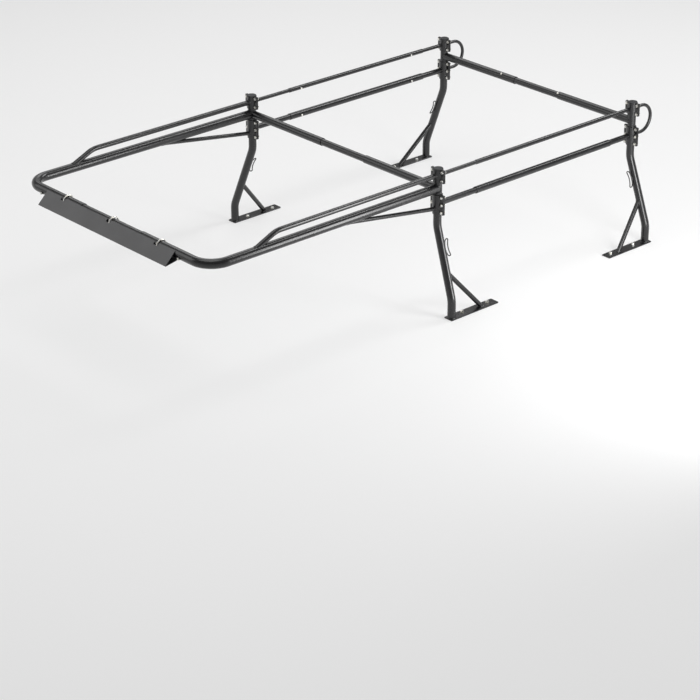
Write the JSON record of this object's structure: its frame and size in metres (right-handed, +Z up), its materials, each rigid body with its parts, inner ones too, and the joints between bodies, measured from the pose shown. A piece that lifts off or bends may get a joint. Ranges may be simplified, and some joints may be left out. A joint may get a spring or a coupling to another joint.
{
  "type": "pickup bed ladder rack",
  "caption": "Telescoping tube rack on splayed bent legs for a pickup bed, with cross bars, side bars, a looped over-cab frame and a folded wind deflector.",
  "frame": {"origin": "on the plane of the base plates' undersides, midway along the rack's whole length and midway between its sides", "axes": "+X towards the front of the vehicle, +Y to its left side, +Z up"},
  "size_m": [3.271, 1.846, 0.8013],
  "materials": {
    "powder_coat": "semi-gloss black powder coat",
    "grey_coat": "satin dark grey paint on folded sheet",
    "cap_plastic": "matte black moulded plastic",
    "zinc": "bright zinc plating on steel rod"
  },
  "bodies": {
    "front_left_corner": {"front_left_leg": "powder_coat", "front_left_cap": "cap_plastic", "front_left_base_plate": "powder_coat", "front_left_leg_brace": "powder_coat", "front_left_rope_cleat": "powder_coat", "front_left_upper_clamp_bed_half": "powder_coat", "front_left_upper_clamp_end_half": "powder_coat", "front_left_lower_clamp_bed_half": "powder_coat", "front_left_lower_clamp_end_half": "powder_coat", "front_left_cross_bar_end": "powder_coat", "front_left_cab_side_tube": "powder_coat", "front_left_cab_rail": "powder_coat", "front_left_cab_strut": "powder_coat"},
    "front_right_corner": {"front_right_leg": "powder_coat", "front_right_cap": "cap_plastic", "front_right_base_plate": "powder_coat", "front_right_leg_brace": "powder_coat", "front_right_rope_cleat": "powder_coat", "front_right_upper_clamp_bed_half": "powder_coat", "front_right_upper_clamp_end_half": "powder_coat", "front_right_lower_clamp_bed_half": "powder_coat", "front_right_lower_clamp_end_half": "powder_coat", "front_right_cross_bar_end": "powder_coat", "front_right_cab_side_tube": "powder_coat", "front_right_cab_rail": "powder_coat", "front_right_cab_strut": "powder_coat"},
    "rear_left_corner": {"rear_left_leg": "powder_coat", "rear_left_cap": "cap_plastic", "rear_left_base_plate": "powder_coat", "rear_left_leg_brace": "powder_coat", "rear_left_rope_cleat": "powder_coat", "rear_left_upper_clamp_bed_half": "powder_coat", "rear_left_upper_clamp_end_half": "powder_coat", "rear_left_lower_clamp_bed_half": "powder_coat", "rear_left_lower_clamp_end_half": "powder_coat", "rear_left_cross_bar_end": "powder_coat", "rear_left_hoop": "powder_coat"},
    "rear_right_corner": {"rear_right_leg": "powder_coat", "rear_right_cap": "cap_plastic", "rear_right_base_plate": "powder_coat", "rear_right_leg_brace": "powder_coat", "rear_right_rope_cleat": "powder_coat", "rear_right_upper_clamp_bed_half": "powder_coat", "rear_right_upper_clamp_end_half": "powder_coat", "rear_right_lower_clamp_bed_half": "powder_coat", "rear_right_lower_clamp_end_half": "powder_coat", "rear_right_cross_bar_end": "powder_coat", "rear_right_hoop": "powder_coat"},
    "front_cross_middle": {"front_cross_bar_middle": "powder_coat"},
    "rear_cross_middle": {"rear_cross_bar_middle": "powder_coat"},
    "cab_bar_middle": {"cab_front_bar_middle": "powder_coat"},
    "left_upper_bar": {"left_upper_sleeve": "powder_coat"},
    "left_lower_bar": {"left_lower_sleeve": "powder_coat"},
    "right_upper_bar": {"right_upper_sleeve": "powder_coat"},
    "right_lower_bar": {"right_lower_sleeve": "powder_coat"},
    "deflector": {"wind_deflector": "grey_coat", "deflector_u_bolt_right": "zinc", "deflector_u_bolt_middle": "zinc", "deflector_u_bolt_left": "zinc"}
  },
  "joints": [
    {"name": "rack_width", "type": "slide", "parent": "front_left_corner", "child": "front_right_corner", "axis": [0, -1, 0], "range_m": [-0.15, 0.15]},
    {"name": "rack_length", "type": "slide", "parent": "front_left_corner", "child": "rear_left_corner", "axis": [-1, 0, 0], "range_m": [-0.15, 0.3]},
    {"name": "rear_right_width", "type": "slide", "parent": "rear_left_corner", "child": "rear_right_corner", "axis": [0, -1, 0], "range_m": [-0.15, 0.15]},
    {"name": "front_cross_middle_slide", "type": "slide", "parent": "front_left_corner", "child": "front_cross_middle", "axis": [0, -1, 0], "range_m": [-0.075, 0.075]},
    {"name": "cab_bar_middle_slide", "type": "slide", "parent": "front_left_corner", "child": "cab_bar_middle", "axis": [0, -1, 0], "range_m": [-0.075, 0.075]},
    {"name": "rear_cross_middle_slide", "type": "slide", "parent": "rear_left_corner", "child": "rear_cross_middle", "axis": [0, -1, 0], "range_m": [-0.075, 0.075]},
    {"name": "left_upper_bar_slide", "type": "slide", "parent": "front_left_corner", "child": "left_upper_bar", "axis": [-1, 0, 0], "range_m": [-0.075, 0.15]},
    {"name": "left_lower_bar_slide", "type": "slide", "parent": "front_left_corner", "child": "left_lower_bar", "axis": [-1, 0, 0], "range_m": [-0.075, 0.15]},
    {"name": "right_upper_bar_slide", "type": "slide", "parent": "front_right_corner", "child": "right_upper_bar", "axis": [-1, 0, 0], "range_m": [-0.075, 0.15]},
    {"name": "right_lower_bar_slide", "type": "slide", "parent": "front_right_corner", "child": "right_lower_bar", "axis": [-1, 0, 0], "range_m": [-0.075, 0.15]},
    {"name": "deflector_tilt", "type": "hinge", "parent": "cab_bar_middle", "child": "deflector", "pos_m": [1.552, -0.013, 0.688], "axis": [0, 1, 0], "range_deg": [-20, 20]}
  ],
  "couplings": [
    {"joint": "rear_right_width", "follows": "rack_width", "ratio": 1},
    {"joint": "front_cross_middle_slide", "follows": "rack_width", "ratio": 0.5},
    {"joint": "cab_bar_middle_slide", "follows": "rack_width", "ratio": 0.5},
    {"joint": "rear_cross_middle_slide", "follows": "rack_width", "ratio": 0.5},
    {"joint": "left_upper_bar_slide", "follows": "rack_length", "ratio": 0.5},
    {"joint": "left_lower_bar_slide", "follows": "rack_length", "ratio": 0.5},
    {"joint": "right_upper_bar_slide", "follows": "rack_length", "ratio": 0.5},
    {"joint": "right_lower_bar_slide", "follows": "rack_length", "ratio": 0.5}
  ]
}
